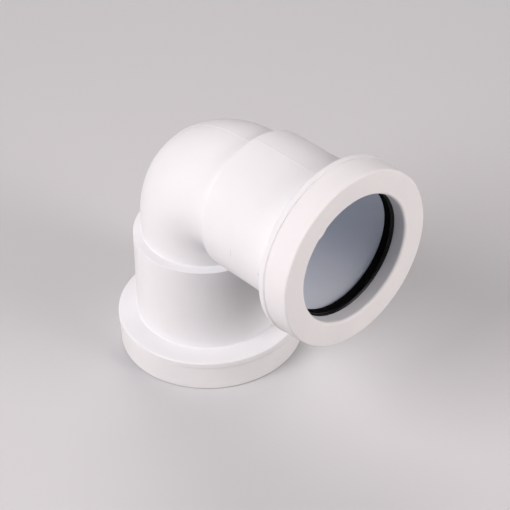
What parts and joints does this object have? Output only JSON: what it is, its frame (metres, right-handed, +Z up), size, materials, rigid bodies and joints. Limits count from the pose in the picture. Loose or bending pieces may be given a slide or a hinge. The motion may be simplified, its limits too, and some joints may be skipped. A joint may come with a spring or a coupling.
{
  "type": "push-fit knuckle bend",
  "caption": "Tight right-angle elbow for waste pipe, with a stepped push-fit socket, a rubber lip seal and a retaining cap at each mouth.",
  "frame": {"origin": "centre of the base socket's mouth, on the surface that it stands on", "axes": "+Z up the base socket's axis into the bend, +X along the side socket's axis, out of its mouth"},
  "size_m": [0.0951, 0.0584, 0.0951],
  "materials": {
    "white_moulding": "satin moulded polypropylene",
    "black_rubber": "matte"
  },
  "bodies": {
    "root": {"bend_body": "white_moulding", "base_retaining_cap": "white_moulding", "side_retaining_cap": "white_moulding", "base_seal": "black_rubber", "side_seal": "black_rubber"}
  },
  "joints": []
}
